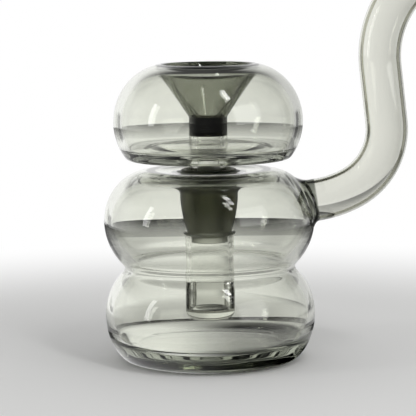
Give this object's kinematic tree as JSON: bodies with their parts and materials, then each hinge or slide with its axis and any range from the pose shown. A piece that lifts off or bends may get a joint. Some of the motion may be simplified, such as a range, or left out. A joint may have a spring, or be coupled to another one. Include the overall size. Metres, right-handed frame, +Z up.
{
  "type": "glass water pipe",
  "caption": "Stacked-bubble smoked-glass water pipe: two joined water chambers, S-bend mouthpiece and a double-walled bubble bowl that lifts out of a ground joint.",
  "frame": {"origin": "centre of the flat base, on the axis of the stacked chambers", "axes": "+Z up along the chambers' common axis; +X towards the mouthpiece; the mouthpiece bends in the X-Z plane"},
  "size_m": [0.128, 0.08, 0.1536],
  "materials": {
    "smoked_glass": "clear polished borosilicate glass with a light grey-green smoke tint",
    "pale_glass": "clear polished borosilicate glass with a very faint warm tint",
    "ground_glass": "smoked borosilicate glass with a fine ground, frosted taper",
    "dark_glass": "solid near-black smoked borosilicate glass, polished"
  },
  "bodies": {
    "vessel": {"lower_chamber": "smoked_glass", "upper_chamber": "smoked_glass", "socket_collar": "smoked_glass", "socket": "ground_glass", "downstem_weld": "smoked_glass", "downstem": "smoked_glass", "diffuser": "smoked_glass", "mouthpiece_collar": "smoked_glass", "mouthpiece_root_bend": "pale_glass", "mouthpiece_elbow_lower": "pale_glass", "mouthpiece_elbow_upper": "pale_glass", "mouthpiece_upright": "pale_glass", "mouthpiece_top_bend": "pale_glass", "mouthpiece_end": "pale_glass", "mouthpiece_lip": "pale_glass"},
    "bowl": {"bowl_bubble": "smoked_glass", "bowl_funnel": "smoked_glass", "bowl_neck": "dark_glass", "bowl_stem": "smoked_glass", "ground_plug": "ground_glass"}
  },
  "joints": [
    {"name": "bowl_lift", "type": "slide", "parent": "vessel", "child": "bowl", "axis": [0, 0, 1], "range_m": [0, 0.04]}
  ]
}
